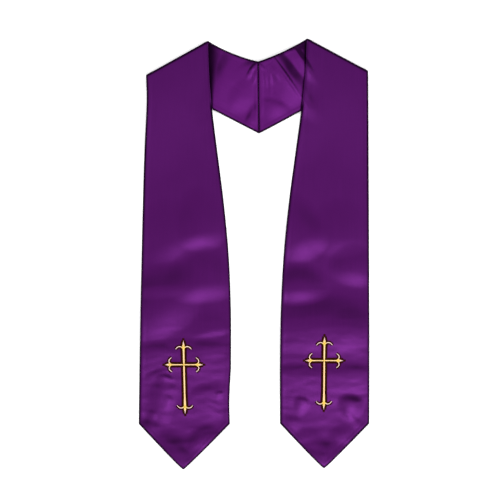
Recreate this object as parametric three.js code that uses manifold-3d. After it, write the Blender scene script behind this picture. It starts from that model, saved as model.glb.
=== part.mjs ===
// Choir stole, laid out flat and folded over at both shoulders.
//
// Millimetres, +Z up. The stole lies on the plane z = 0 with its neck towards +Y and its two
// pointed ends towards -Y. The origin is the middle of the rectangle that it covers.
//
// Four pieces are cut for it: a face and a lining for each half. Each half runs from the mitred
// seam at the middle of the back, up to the shoulder, over the fold there, and down the front to
// the pointed end. On the back stretch the face lies on the table and the lining looks up. The
// fold turns the half over, so on the front the lining is underneath and the face looks up. The
// lower end of each front carries one embroidered cross.
//
// Every wall is a grid of rows (from the seam to the point) and columns (from the outer edge to
// the neck edge). Its points are those of the face's outer side, moved inwards by a depth.

import * as THREE from "three";
import { mergeVertices } from "three/addons/utils/BufferGeometryUtils.js";
import Module from "manifold-3d";

const wasm = await Module();
wasm.setup();

// ---- Driving dimensions ---------------------------------------------------------------------

const HALF_SPAN = 175; // from the origin to the outer corner of a front's end
const HALF_LENGTH = 327.5; // from the origin to the highest neck point, and to the lowest tip

const CLOTH = 1; // one wall of satin with its share of the interfacing
const SEAM = 0.3; // clearance between two pieces that are sewn together
const PAIR = 2 * CLOTH + SEAM; // face and lining together
const FOLD_RADIUS = 4.6; // outside of the soft fold at the shoulder
const SETTLE = 95; // how far past the fold the front takes to come down to rest
const STEP_DOWN = 34; // how far past the back's lower edge it comes down to the table
const CLEAR = 1; // air between the front and the back stretch under it
const FADE = 45; // past the fold, the front's ridges grow to their height over this length

const SEAM_TOP = [5.9, 292.3]; // centre-back seam at the neck edge
const SEAM_FOOT = [7.2, 183]; // and at the point of the V below it

// Where each half lies. shoulder and neck are the ends of its fold line, corner is the outer
// corner of the front's end, tip is how low its point reaches, neckSag is how far the back's
// neck edge hangs under a straight line, cross is the crossing of the embroidered bars, and
// crossLean is how many degrees the upright bar leans over, its foot towards +X.
const HALVES = [
  {
    name: "left",
    shoulder: [-164.4, 272.8],
    neck: [-70.5, 324.2],
    corner: [-HALF_SPAN, -257.2],
    tip: -HALF_LENGTH,
    neckSag: 2.4,
    cross: [-106.8, -168],
    crossLean: 1.4,
  },
  {
    name: "right",
    shoulder: [173.4, 278.2],
    neck: [80.6, HALF_LENGTH],
    corner: [HALF_SPAN, -256.6],
    tip: -325.8,
    neckSag: 1.2,
    cross: [106.2, -161.8],
    crossLean: -0.5,
  },
];

// Width of a front, level across it, at a distance below its neck point.
const WIDTHS = [
  { down: 0, width: 92.4 },
  { down: 56, width: 96.2 },
  { down: 105, width: 101.8 },
  { down: 170, width: 111.2 },
  { down: 243, width: 120.8 },
  { down: 316, width: 129.2 },
  { down: 407, width: 135.2 },
  { down: 499, width: 137.0 },
  { down: 585, width: 137.8 },
];

// Soft ridges of the cloth, each an oval swell. angle is that of its length, in degrees from +X.
const FRONT_RIDGES = [
  { x: -103, y: 24, angle: 17, length: 150, width: 58, height: 3.6 },
  { x: -90, y: -47, angle: 7, length: 130, width: 54, height: 3.4 },
  { x: -146, y: -88, angle: 24, length: 92, width: 56, height: 3.2 },
  { x: -78, y: -112, angle: -12, length: 84, width: 40, height: 2.4 },
  { x: -143, y: -196, angle: -16, length: 88, width: 46, height: 2.8 },
  { x: -66, y: -214, angle: -24, length: 86, width: 44, height: 2.6 },
  { x: -112, y: -262, angle: 6, length: 74, width: 40, height: 2.2 },
  { x: 84, y: 22, angle: 28, length: 120, width: 54, height: 3.6 },
  { x: 146, y: 28, angle: 8, length: 74, width: 42, height: 2.0 },
  { x: 154, y: -28, angle: -16, length: 84, width: 46, height: 3.0 },
  { x: 64, y: -50, angle: 5, length: 92, width: 48, height: 3.4 },
  { x: 80, y: -122, angle: 6, length: 104, width: 52, height: 3.0 },
  { x: 148, y: -150, angle: -10, length: 76, width: 44, height: 2.2 },
  { x: 76, y: -196, angle: 4, length: 96, width: 50, height: 2.8 },
  { x: 144, y: -236, angle: 14, length: 74, width: 40, height: 2.4 },
];
const BACK_RIDGES = [
  { x: -26, y: 256, angle: 62, length: 96, width: 46, height: 2.6 },
  { x: 45, y: 282, angle: -54, length: 84, width: 26, height: 5.2 },
  { x: 33, y: 236, angle: -70, length: 70, width: 40, height: 2.2 },
];

// Raised embroidery of the cross: a bar for each arm, ending in a leaf between two curled petals.
const THREAD = 1.1; // how far the embroidery stands off the cloth
const ARMS = [
  { angle: 90, joint: 26, reach: 36.6, root: 1.95, neck: 2.3, petal: 11.8 },
  { angle: -90, joint: 64.4, reach: 74.8, root: 1.95, neck: 2.5, petal: 11.6 },
  { angle: 0, joint: 21, reach: 29, root: 1.25, neck: 2.0, petal: 10.6 },
  { angle: 180, joint: 21, reach: 29, root: 1.25, neck: 2.0, petal: 10.6 },
];
const LEAF = 2.1; // half the width of the leaf
const PETAL = 0.95; // half the width of a petal
const STENCIL = { depth: 40, bevelEnabled: false, curveSegments: 5 };

// Rows and columns of a wall.
const BACK_ROWS = 11;
const FOLD_ROWS = 6;
const POINT_BLUNT = 1.1; // 1 would give the pointed end straight sides and a sharp tip
const FRONT_ROWS = 42;
const COLUMNS = 8;

// ---- Small helpers --------------------------------------------------------------------------

const mix = (a, b, t) => a + (b - a) * t;
const mixPoint = (p, q, t) => [mix(p[0], q[0], t), mix(p[1], q[1], t)];
const smooth = (t) => THREE.MathUtils.smoothstep(t, 0, 1);
const dot = (p, q) => p[0] * q[0] + p[1] * q[1];
const minus = (p, q) => [p[0] - q[0], p[1] - q[1]];
const toRadians = THREE.MathUtils.degToRad;

// The unit vector at right angles to the line from p to q that points towards -Y.
function downwardNormal(p, q) {
  const [dx, dy] = minus(q, p);
  const long = Math.hypot(dx, dy) * Math.sign(dx);
  return [dy / long, -dx / long];
}

// Width of a front at a distance below its neck point, on a smooth curve through the table.
function widthAt(down) {
  const last = WIDTHS.length - 1;
  const passed = WIDTHS.filter((row) => row.down <= down).length;
  const i = THREE.MathUtils.clamp(passed - 1, 0, last - 1);
  const slopeAt = (k) => {
    const [a, b] = [WIDTHS[Math.max(k - 1, 0)], WIDTHS[Math.min(k + 1, last)]];
    return (b.width - a.width) / (b.down - a.down);
  };
  const [a, b] = [WIDTHS[i], WIDTHS[i + 1]];
  const step = b.down - a.down;
  const t = THREE.MathUtils.clamp((down - a.down) / step, 0, 1);
  const rise = smooth(t) * (b.width - a.width);
  const bend = t * (1 - t) * ((1 - t) * slopeAt(i) - t * slopeAt(i + 1)) * step;
  return a.width + rise + bend;
}

// Height that a list of ridges adds at (x, y): each falls to nothing at its own oval edge.
function ridgeHeight(ridges, x, y) {
  return ridges.reduce((sum, ridge) => {
    const turn = toRadians(ridge.angle);
    const [dx, dy] = [x - ridge.x, y - ridge.y];
    const along = (dx * Math.cos(turn) + dy * Math.sin(turn)) / (ridge.length / 2);
    const across = (dy * Math.cos(turn) - dx * Math.sin(turn)) / (ridge.width / 2);
    const inside = Math.max(0, 1 - along * along - across * across);
    return sum + ridge.height * inside * inside;
  }, 0);
}

// ---- The lie of one half --------------------------------------------------------------------

// Adds to a half its outer side, its normals and the heights of its two stretches.
function layOut(half) {
  const { shoulder, neck, corner } = half;
  const towardsNeck = Math.sign(neck[0] - shoulder[0]);
  const foldNormal = downwardNormal(shoulder, neck);
  const backNormal = downwardNormal(shoulder, SEAM_FOOT);
  const pastFold = (x, y) => dot(minus([x, y], shoulder), foldNormal);

  // The front's outer edge is straight, and its neck edge follows the table of widths.
  const outerEdge = (y) => mixPoint(shoulder, corner, (shoulder[1] - y) / (shoulder[1] - corner[1]));
  const neckEdge = (y) => [outerEdge(y)[0] + towardsNeck * widthAt(neck[1] - y), y];

  // The centre-back seam, half of its clearance away from the seam line.
  const seamShift = [(-towardsNeck * SEAM) / 2, 0];
  const seamFoot = [SEAM_FOOT[0] + seamShift[0], SEAM_FOOT[1]];
  const seamTop = [SEAM_TOP[0] + seamShift[0], SEAM_TOP[1]];
  const lowerEdge = (t) => mixPoint(shoulder, seamFoot, t);
  const sagNormal = downwardNormal(neck, seamTop);
  const backNeckEdge = (t) => {
    const chord = mixPoint(neck, seamTop, t);
    const sag = half.neckSag * 4 * t * (1 - t);
    return [chord[0] + sag * sagNormal[0], chord[1] + sag * sagNormal[1]];
  };

  const backUnderside = (x, y) => ridgeHeight(BACK_RIDGES, x, y);
  const frontUnderside = (x, y) => {
    const past = pastFold(x, y) - FOLD_RADIUS;
    const held = (2 * FOLD_RADIUS - PAIR) * (1 - smooth(past / SETTLE));
    const belowBack = dot(minus([x, y], shoulder), backNormal);
    const onBack = (PAIR + CLEAR + backUnderside(x, y)) * (1 - smooth(belowBack / STEP_DOWN));
    const ridges = ridgeHeight(FRONT_RIDGES, x, y) * smooth(past / FADE);
    return (held ** 4 + onBack ** 4) ** 0.25 + ridges;
  };
  return {
    ...half, towardsNeck, foldNormal, pastFold,
    outerEdge, neckEdge, lowerEdge, backNeckEdge, backUnderside, frontUnderside,
  };
}

// One row of plan points across the strip, from its outer edge to its neck edge.
function straightRow(outer, inner) {
  return Array.from({ length: COLUMNS + 1 }, (_, j) => mixPoint(outer, inner, j / COLUMNS));
}

// The rows of a half, from the seam to the point. Each point has a place on the face's outer
// side and the direction that leads from there into the cloth.
function rowsOf(half) {
  const { shoulder, neck, corner, tip, foldNormal, pastFold } = half;
  const rows = [];

  // Back stretch: the face's outer side is underneath, so inwards is up.
  const startOuter = FOLD_RADIUS / pastFold(...half.lowerEdge(1));
  const startInner = FOLD_RADIUS / pastFold(...half.backNeckEdge(1));
  for (let i = 0; i < BACK_ROWS; i++) {
    const t = 1 - i / BACK_ROWS;
    const outer = half.lowerEdge(mix(startOuter, 1, t));
    const inner = half.backNeckEdge(mix(startInner, 1, t));
    rows.push(straightRow(outer, inner).map(([x, y]) => ({
      place: [x, y, half.backUnderside(x, y)],
      inwards: [0, 0, 1],
    })));
  }

  // Fold: half a turn round a line along the shoulder. The edges run on straight round it.
  const slide = (from, to) => {
    const step = minus(to, from);
    const across = dot(step, foldNormal);
    return [step[0] / across, step[1] / across];
  };
  const nearNeck = half.neckEdge(neck[1] - 4 * FOLD_RADIUS);
  const slides = {
    back: [slide(shoulder, half.lowerEdge(1)), slide(neck, half.backNeckEdge(0.1))],
    front: [slide(shoulder, corner), slide(neck, nearNeck)],
  };
  for (let i = 0; i <= FOLD_ROWS; i++) {
    const angle = (Math.PI * i) / FOLD_ROWS;
    const past = FOLD_RADIUS * (1 - Math.sin(angle));
    const [outerSlide, innerSlide] = angle < Math.PI / 2 ? slides.back : slides.front;
    const outer = [shoulder[0] + outerSlide[0] * past, shoulder[1] + outerSlide[1] * past];
    const inner = [neck[0] + innerSlide[0] * past, neck[1] + innerSlide[1] * past];
    rows.push(straightRow(outer, inner).map(([x, y]) => ({
      place: [x, y, FOLD_RADIUS * (1 - Math.cos(angle))],
      inwards: [foldNormal[0] * Math.sin(angle), foldNormal[1] * Math.sin(angle), Math.cos(angle)],
    })));
  }

  // Front stretch: the face's outer side is on top, so inwards is down. The rows turn from the
  // slant of the fold to the V of the pointed end.
  const topOuter = shoulder[1] + slides.front[0][1] * FOLD_RADIUS;
  const topInner = neck[1] + slides.front[1][1] * FOLD_RADIUS;
  for (let i = 1; i <= FRONT_ROWS; i++) {
    const t = i / FRONT_ROWS;
    const outer = half.outerEdge(mix(topOuter, corner[1], t));
    const inner = half.neckEdge(mix(topInner, corner[1], t));
    const point = (corner[1] - tip) * t ** 4;
    rows.push(straightRow(outer, inner).map(([x, level], j) => {
      const y = level - point * (1 - Math.abs((2 * j) / COLUMNS - 1) ** POINT_BLUNT);
      return { place: [x, y, half.frontUnderside(x, y) + PAIR], inwards: [0, 0, -1] };
    }));
  }
  return rows;
}

// ---- Walls ----------------------------------------------------------------------------------

// A closed wall between two depths inside a half's outer side. A negative depth is outside it.
function wallGeometry(half, rows, near, far) {
  const across = COLUMNS + 1;
  const side = rows.length * across;
  const index = (i, j, layer) => layer * side + i * across + j;
  const positions = [near, far].flatMap((depth) =>
    rows.flat().flatMap(({ place, inwards }) => place.map((c, k) => c + depth * inwards[k])));

  const faces = [];
  const quad = (a, b, c, d) => faces.push([a, b, c], [a, c, d]);
  for (let i = 0; i + 1 < rows.length; i++) {
    for (let j = 0; j < COLUMNS; j++) {
      quad(index(i, j, 0), index(i + 1, j, 0), index(i + 1, j + 1, 0), index(i, j + 1, 0));
      quad(index(i, j, 1), index(i, j + 1, 1), index(i + 1, j + 1, 1), index(i + 1, j, 1));
    }
    quad(index(i + 1, 0, 0), index(i, 0, 0), index(i, 0, 1), index(i + 1, 0, 1));
    quad(index(i, COLUMNS, 0), index(i + 1, COLUMNS, 0), index(i + 1, COLUMNS, 1), index(i, COLUMNS, 1));
  }
  const end = rows.length - 1;
  for (let j = 0; j < COLUMNS; j++) {
    quad(index(0, j, 0), index(0, j + 1, 0), index(0, j + 1, 1), index(0, j, 1));
    quad(index(end, j + 1, 0), index(end, j, 0), index(end, j, 1), index(end, j + 1, 1));
  }
  // The right half is a mirror of the left one, so its faces are wound the other way.
  const wound = half.towardsNeck > 0 ? faces : faces.map(([a, b, c]) => [a, c, b]);
  return new THREE.BufferGeometry()
    .setAttribute("position", new THREE.Float32BufferAttribute(positions, 3))
    .setIndex(wound.flat());
}

// ---- Embroidered cross ----------------------------------------------------------------------

// Outlines of one arm, drawn along +X from the crossing: bar, leaf and two petals.
function armShapes({ joint, reach, root, neck, petal }) {
  // The bar keeps its width at first, and flares towards the joint.
  const flare = 0.75 * joint;
  const bar = new THREE.Shape().moveTo(-root, -root).lineTo(-root, root);
  bar.quadraticCurveTo(flare, root, joint, neck);
  bar.lineTo(joint, -neck);
  bar.quadraticCurveTo(flare, -root, -root, -root);

  // The leaf is widest just past the joint, and half way along it narrows to its point.
  const long = reach - joint;
  const heel = joint - 0.3 * long;
  const belly = joint + 0.1 * long;
  const taper = joint + 0.5 * long;
  const leaf = new THREE.Shape().moveTo(heel, 0);
  leaf.quadraticCurveTo(belly, 1.6 * LEAF, taper, 0.62 * LEAF);
  leaf.lineTo(reach, 0);
  leaf.lineTo(taper, -0.62 * LEAF);
  leaf.quadraticCurveTo(belly, -1.6 * LEAF, heel, 0);

  // A petal leaves the bar forwards, bows past the joint and curls back to its tip.
  const petals = [1, -1].map((side) => petalShape(new THREE.CubicBezierCurve(
    new THREE.Vector2(joint - 2.2, 0.6 * side),
    new THREE.Vector2(joint + 2.2, 2.6 * side),
    new THREE.Vector2(joint + 3.4, 0.68 * petal * side),
    new THREE.Vector2(joint - 2.3, petal * side),
  )));
  return [bar, leaf, ...petals];
}

// A narrow outline along a spine, drawn in to half its width at the tip.
function petalShape(spine) {
  const steps = 8;
  const rim = (edge) => Array.from({ length: steps + 1 }, (_, i) => {
    const t = i / steps;
    const { x, y } = spine.getTangent(t);
    const wide = edge * PETAL * (1 - 0.5 * t ** 3);
    return spine.getPoint(t).add(new THREE.Vector2(-y * wide, x * wide));
  });
  return new THREE.Shape([...rim(1), ...rim(-1).reverse()]);
}

function solidFrom(geometry) {
  const bare = new THREE.BufferGeometry().setAttribute("position", geometry.getAttribute("position"));
  const merged = mergeVertices(bare.setIndex(geometry.index), 1e-3);
  return new wasm.Manifold(new wasm.Mesh({
    numProp: 3,
    vertProperties: merged.attributes.position.array,
    triVerts: new Uint32Array(merged.index.array),
  }));
}

function geometryFrom(solid) {
  const mesh = solid.getMesh();
  return new THREE.BufferGeometry()
    .setAttribute("position", new THREE.BufferAttribute(Float32Array.from(mesh.vertProperties), 3))
    .setIndex(new THREE.BufferAttribute(Uint32Array.from(mesh.triVerts), 1));
}

// The cross is cut with a tall stencil out of a layer made from the front's own points, moved out.
function crossGeometry(half, rows) {
  const layer = solidFrom(wallGeometry(half, rows, -SEAM - THREAD, -SEAM));
  const lean = new THREE.Matrix4().makeShear(0, 0, -Math.tan(toRadians(half.crossLean)), 0, 0, 0);
  const stencils = ARMS.flatMap((arm) => armShapes(arm).map((shape) => {
    const stencil = new THREE.ExtrudeGeometry(shape, STENCIL);
    stencil.rotateZ(toRadians(arm.angle));
    stencil.applyMatrix4(lean);
    stencil.translate(half.cross[0], half.cross[1], -STENCIL.depth / 2);
    return solidFrom(stencil);
  }));
  const stencil = stencils.reduce((whole, next) => whole.add(next));
  return geometryFrom(layer.intersect(stencil));
}

// ---- The stole ------------------------------------------------------------------------------

const satin = { color: 0x51165e, roughness: 0.38, metalness: 0 };
const gold = { color: 0xe8bf4a, roughness: 0.45, metalness: 0 };

function piece(name, geometry, finish) {
  const mesh = new THREE.Mesh(geometry, new THREE.MeshStandardMaterial(finish));
  mesh.name = name;
  return mesh;
}

const stole = new THREE.Group();
for (const half of HALVES.map(layOut)) {
  const rows = rowsOf(half);
  stole.add(
    piece(`face_${half.name}`, wallGeometry(half, rows, 0, CLOTH), satin),
    piece(`lining_${half.name}`, wallGeometry(half, rows, CLOTH + SEAM, PAIR), satin),
    piece(`cross_${half.name}`, crossGeometry(half, rows), gold),
  );
}

export default stole;
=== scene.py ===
# %% [markdown]
# # A choir stole, laid out flat
#
# A choir stole is a long band of satin that is worn round the neck, with its two pointed ends
# hanging down in front. This one lies on a table as a shop shows it: the back of the neck is
# spread out wrong side up, and at each shoulder the band folds over, so that both fronts lie
# right side up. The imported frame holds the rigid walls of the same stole. This script dresses
# them in satin, gold embroidery, seams and creases.

# %% Load the frame
import math
from collections import namedtuple

import bmesh
import bpy
import numpy as np
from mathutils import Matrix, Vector, noise


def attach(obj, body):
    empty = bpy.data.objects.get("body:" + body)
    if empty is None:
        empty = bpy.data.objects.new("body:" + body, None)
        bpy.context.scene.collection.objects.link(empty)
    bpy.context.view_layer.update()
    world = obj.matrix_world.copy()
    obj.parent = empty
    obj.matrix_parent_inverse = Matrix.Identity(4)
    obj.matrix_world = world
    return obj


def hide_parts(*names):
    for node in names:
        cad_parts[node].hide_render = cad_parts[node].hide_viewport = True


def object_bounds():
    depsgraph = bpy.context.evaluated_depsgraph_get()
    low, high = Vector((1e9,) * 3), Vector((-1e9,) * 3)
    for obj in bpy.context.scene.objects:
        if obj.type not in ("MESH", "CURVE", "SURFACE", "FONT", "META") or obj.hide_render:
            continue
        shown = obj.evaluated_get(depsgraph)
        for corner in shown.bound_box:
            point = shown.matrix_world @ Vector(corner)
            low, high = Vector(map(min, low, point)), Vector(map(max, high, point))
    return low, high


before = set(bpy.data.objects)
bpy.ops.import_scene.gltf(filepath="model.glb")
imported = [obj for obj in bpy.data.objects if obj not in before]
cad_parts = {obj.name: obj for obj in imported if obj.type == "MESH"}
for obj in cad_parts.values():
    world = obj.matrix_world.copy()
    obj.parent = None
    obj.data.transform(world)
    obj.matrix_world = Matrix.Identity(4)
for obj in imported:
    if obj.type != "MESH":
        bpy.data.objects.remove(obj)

FRAME_LOW, FRAME_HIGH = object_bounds()
print("frame, in metres:", [round(c, 4) for c in (*FRAME_LOW, *FRAME_HIGH)])

# %% [markdown]
# ## Camera, floor and light
#
# The stole is seen from straight above through a long lens, so nothing converges. Satin shows
# its folds by its sheen, and that decides the light. One wide soft box hangs past the pointed
# ends. A slope that leans that way mirrors it and shines, and a slope that leans away stays
# dark. Low boxes on the other three sides light the floor and fill the colour. Satin mirrors
# a low light strongly when it is seen from the far side, and would look washed out. So each of
# these is two lights in one place, and the stronger one doesn't show in the gloss. The floor
# glows faintly, like a light table, so that thin cloth throws hardly any shadow on it.

# %% The camera above the table
MM = 0.001
VIEW_SIDE = 760 * MM  # the square of the table that the picture shows
VIEW_CENTRE = (-6.5 * MM, 6.1 * MM)
CAMERA_HEIGHT = 4.5

bpy.ops.object.camera_add(location=(*VIEW_CENTRE, CAMERA_HEIGHT), rotation=(0, 0, 0))
camera = bpy.context.object
camera.data.lens = camera.data.sensor_width * CAMERA_HEIGHT / VIEW_SIDE
camera.data.clip_end = 20
bpy.context.scene.camera = camera
print("lens:", round(camera.data.lens, 1), "mm")


# %% A material to start from
def new_material(name, **values):
    """A material with one Principled BSDF, its node tree, and the shader's inputs with their values."""
    material = bpy.data.materials.new(name)
    material.use_nodes = True
    inputs = material.node_tree.nodes["Principled BSDF"].inputs
    for label, value in values.items():
        inputs[label.replace("_", " ")].default_value = value
    return material, material.node_tree, inputs


# %% The floor
bpy.ops.mesh.primitive_plane_add(size=14, location=(0, 0, -0.3 * MM))
floor = bpy.context.object
floor.name = "floor"

floor_paint, _, _ = new_material("pale floor", Base_Color=(0.97, 0.97, 0.97, 1), Roughness=0.9,
                                 Specular_IOR_Level=0.1, Emission_Color=(1, 1, 1, 1),
                                 Emission_Strength=0.16)
floor.data.materials.append(floor_paint)


# %% The lights
def soft_box(name, place, width, height, power):
    """A rectangular area light at a place, turned to face the stole."""
    bpy.ops.object.light_add(type="AREA", location=place)
    lamp = bpy.context.object
    lamp.name = name
    lamp.data.shape = "RECTANGLE"
    lamp.data.size = width
    lamp.data.size_y = height
    lamp.data.energy = power
    lamp.rotation_mode = "QUATERNION"
    lamp.rotation_quaternion = lamp.location.to_track_quat("Z", "Y")
    return lamp


def fill_box(name, place, mirrored_power, other_power):
    """Two soft boxes in one place: one that the satin's gloss mirrors, and one that it doesn't."""
    soft_box(name, place, width=2.0, height=1.0, power=mirrored_power)
    unseen = soft_box(f"{name}, not mirrored", place, width=2.0, height=1.0, power=other_power)
    unseen.visible_glossy = False


soft_box("sheen box", (0.5, -1.72, 3.0), width=2.1, height=0.9, power=76)
fill_box("left fill", (-2.2, 0.2, 1.5), mirrored_power=13, other_power=20)
fill_box("right fill", (2.2, 0.2, 1.5), mirrored_power=15, other_power=24)
fill_box("neck fill", (0, 2.4, 1.5), mirrored_power=11, other_power=26)

world = bpy.data.worlds.new("studio")
world.use_nodes = True
world.node_tree.nodes["Background"].inputs["Color"].default_value = (1, 1, 1, 1)
world.node_tree.nodes["Background"].inputs["Strength"].default_value = 0.33
bpy.context.scene.world = world
bpy.context.scene.view_settings.view_transform = "Standard"

# %% [markdown]
# ## The cut
#
# Each half of the stole is cut twice, once for the face and once for the lining. It starts at
# the mitred seam at the centre back, widens all the way down and ends in a point. A strip is
# easiest to hold as a grid: rows across it, from the seam to the point, and columns along it,
# from its outer edge to its neck edge. The sizes here are in millimetres, and MM turns them
# into Blender's metres when a mesh is made.

# %% Sizes
HALF_SPAN = FRAME_HIGH.x / MM
HALF_LENGTH = FRAME_HIGH.y / MM

PAIR = 2.3  # face and lining together
CREVICE = 0.14  # where the layers meet along a seam, the dark line between them
FOLD_RADIUS = 4.6

SEAM_GAP = 0.02  # between the two halves
SEAM_TOP = np.array([5.9, 292.3])
SEAM_FOOT = np.array([7.2, 183.0])

# %% How each half lies
# shoulder, neck: the outer and the inner end of the fold. corner, tip: those of the pointed end.
# tip_lean: how far the tip lies aside. side_bow, side_tuck: how the outer edge bends.
# fullness, toe_in: how the neck edge departs from the widths below. neck_sag, foot_sag: how far
# the back's two edges sag. inward: the way to the centre. lap_reach, lap_depth: how wide the
# shadow beside the front is on the back, and how far down it narrows.
SIDES = {
    "left": {
        "shoulder": np.array([-164.2, 272.0]),
        "neck": np.array([-70.5, 323.8]),
        "corner": np.array([-HALF_SPAN - 0.5, -258.0]),
        "tip": -HALF_LENGTH,
        "tip_lean": -1.5,
        "side_bow": -1.1,
        "side_tuck": 2.0,
        "fullness": 1.006,
        "toe_in": 1.5,
        "neck_sag": 3.4,
        "foot_sag": 0.2,
        "inward": 1,
        "lap_reach": 25,
        "lap_depth": 108,
    },
    "right": {
        "shoulder": np.array([172.8, 278.2]),
        "neck": np.array([80.6, HALF_LENGTH]),
        "corner": np.array([HALF_SPAN - 0.3, -257.6]),
        "tip": -325.8,
        "tip_lean": -1.1,
        "side_bow": 0.7,
        "side_tuck": 0,
        "fullness": 0.984,
        "toe_in": 0,
        "neck_sag": 2.5,
        "foot_sag": 2.2,
        "inward": -1,
        "lap_reach": 11,
        "lap_depth": 52,
    },
}

# %% How wide a front is
# The width of a front, level across it, at distances below its neck point.
WIDTH_DOWN = np.array([0, 56, 105, 170, 243, 316, 407, 470, 585])
WIDTH_THERE = np.array([92.4, 96.2, 101.8, 111.4, 122.2, 130.7, 136.4, 137.8, 137.8])
print("cut: half strips", WIDTH_THERE[-1], "mm wide at the end")

# %% [markdown]
# ## How the cloth lies
#
# Satin laid on a table is never quite flat. Each crease here is a soft swell that dies away at
# its ends, with one slope behind its crest, towards the neck, and another ahead of it, towards
# the pointed ends. The slope ahead faces the sheen box and shines, and the slope behind stays
# dark. A long slope behind and a short one ahead draw a bright band under a wide dark stretch,
# and the other way round a dark streak over a soft glow. The tables list the creases one by one, so
# that no two creases are alike, and the cloth also has a fine waviness where it is handled most.

# %% Soft creases
# x, y: the middle of the crest. angle: the direction of the crest, in degrees from +X.
# behind, ahead: the widths of its two slopes. bow: how far its ends bend ahead of its middle.
Crease = namedtuple("Crease", "x y angle length behind ahead height bow", defaults=[0])

FRONT_CREASES = [
    # the left front, from the shoulder down
    Crease(-80, 33, 6, 86, 74, 33, 3.8),
    Crease(-126, 19, 17, 124, 70, 36, 3.1),
    Crease(-78, -44, 4, 122, 60, 34, 4.7, 6),
    Crease(-150, -47, 1, 106, 66, 24, 2.4),
    Crease(-142, -80, 38, 160, 64, 52, 5.6),
    Crease(-64, -116, 9, 68, 34, 13, 1.4),
    Crease(-106, -126, 0, 300, 100, 150, 3.8),
    Crease(-106, -151, 0, 270, 24, 56, 1.7),
    Crease(-152, -149, -4, 70, 18, 30, 1.1),
    Crease(-66, -142, 17, 76, 18, 24, 0.8),
    # small puckers beside the left cross
    Crease(-146, -181, 18, 50, 6, 16, 1.1, 2),
    Crease(-135, -188, -9, 32, 7, 14, 1.8, 2),
    Crease(-137, -205, -8, 48, 15, 70, 2.4),
    Crease(-129, -220, -22, 18, 5, 20, 0.6),
    Crease(-154, -243, -14, 20, 6, 22, 0.8),
    Crease(-72, -210, 16, 72, 16, 46, 1.5),
    Crease(-53, -212, 8, 16, 5, 9, 0.8),
    Crease(-66, -235, -31, 54, 6, 10, 0.6),
    Crease(-60, -228, -27, 40, 5, 9, 0.45),
    # the left pointed end
    Crease(-160, -264, -10, 42, 15, 16, 1.5),
    Crease(-146, -284, -36, 92, 30, 22, 2.0),
    Crease(-76, -283, 26, 66, 24, 26, 3.0),
    Crease(-118, -321, -15, 104, 54, 30, 6.0),
    # the right front, from the shoulder down
    Crease(72, 24, 30, 92, 84, 40, 5.0),
    Crease(130, 25, -3, 104, 64, 34, 2.7),
    Crease(150, -24, -13, 84, 42, 28, 3.2, 3),
    Crease(66, -53, 3, 106, 42, 26, 5.1, 2),
    Crease(95, -113, 1, 230, 56, 46, 2.8),
    Crease(105, -113, 0, 300, 66, 164, 4.8),
    Crease(147, -122, -8, 82, 44, 42, 1.5),
    # the dark band level with the foot of the right cross's petals
    Crease(105, -183, 1, 280, 18, 66, 2.0),
    Crease(62, -178, -3, 70, 13, 36, 0.6),
    Crease(150, -181, 8, 62, 22, 36, 0.9),
    # small puckers beside and below the right cross
    Crease(147, -226, -5, 46, 14, 32, 3.5),
    Crease(73, -224, -16, 28, 8, 26, 1.6),
    Crease(153, -254, -34, 36, 7, 12, 1.0),
    Crease(143, -243, -30, 26, 6, 10, 0.7),
    Crease(58, -256, -8, 38, 12, 18, 1.0),
    # the right pointed end
    Crease(133, -276, 14, 54, 18, 22, 1.7),
    Crease(86, -281, -24, 52, 18, 18, 1.2),
    Crease(106, -312, 3, 108, 34, 34, 4.0),
]
BACK_CREASES = [
    # the pull beside the left shoulder, and the soft swells of the left part
    Crease(-40, 271, 66, 140, 32, 72, 4.6),
    Crease(-20, 240, 57, 66, 20, 26, 1.7),
    Crease(-3, 208, 64, 60, 11, 14, 1.8),
    # the sharp diagonal crease of the right part, and the swell behind it
    Crease(56, 262, -55, 160, 20, 29, 5.0),
    Crease(52, 265, -55, 130, 4, 4, 1.3),
    Crease(73, 293, -56, 100, 9, 14, 3.3),
    Crease(40, 300, 21, 150, 20, 84, 6.4),
    Crease(34, 232, -30, 66, 26, 30, 1.6),
    Crease(30, 225, -20, 52, 12, 26, 1.8),
    # puckers that fan out from the top of the centre-back seam
    Crease(-1, 284, 46, 22, 4, 6, 1.0),
    Crease(-6, 276, 60, 32, 4.5, 7, 1.2),
    Crease(1, 270, 76, 34, 4, 6, 1.1),
    Crease(11, 284, -50, 18, 4, 4, 0.9),
    Crease(17, 270, -80, 48, 4, 4, 1.0),
    Crease(24, 262, -86, 56, 4.5, 4, 1.0),
    Crease(31, 274, -62, 34, 6, 7, 1.1),
    # the seam allowances, pressed open inside
    Crease(3, 232, 89.3, 120, 2.5, 3, 0.6),
    Crease(11.5, 232, 89.3, 120, 4, 3, 0.5),
]


def crease_height(creases, x, y):
    """The height that all the creases together add at the points (x, y)."""
    height = np.zeros_like(x)
    for crease in creases:
        turn = math.radians(crease.angle)
        dx, dy = x - crease.x, y - crease.y
        along = (dx * math.cos(turn) + dy * math.sin(turn)) / (crease.length / 2)
        across = dy * math.cos(turn) - dx * math.sin(turn) + crease.bow * along**2
        across = across / np.where(across > 0, crease.behind, crease.ahead)
        height += crease.height * np.maximum(0, 1 - along**2 - across**2) ** 2
    return height


print("creases:", len(FRONT_CREASES), "on the fronts,", len(BACK_CREASES), "on the back")


# %% Fine waviness
def waviness(x, y, long, short):
    """An even noise from 0 to 1, its waves about this long and this short, in millimetres."""
    def wave(u, v):
        return noise.noise(Vector((u, v, 0.5))) + 0.5 * noise.noise(Vector((2 * u, 2 * v, 7.5)))

    waves = [wave(u, v) for u, v in zip((x / long).ravel(), (y / short).ravel())]
    return 0.5 + 0.5 * np.clip(np.array(waves).reshape(x.shape), -1, 1)


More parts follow.
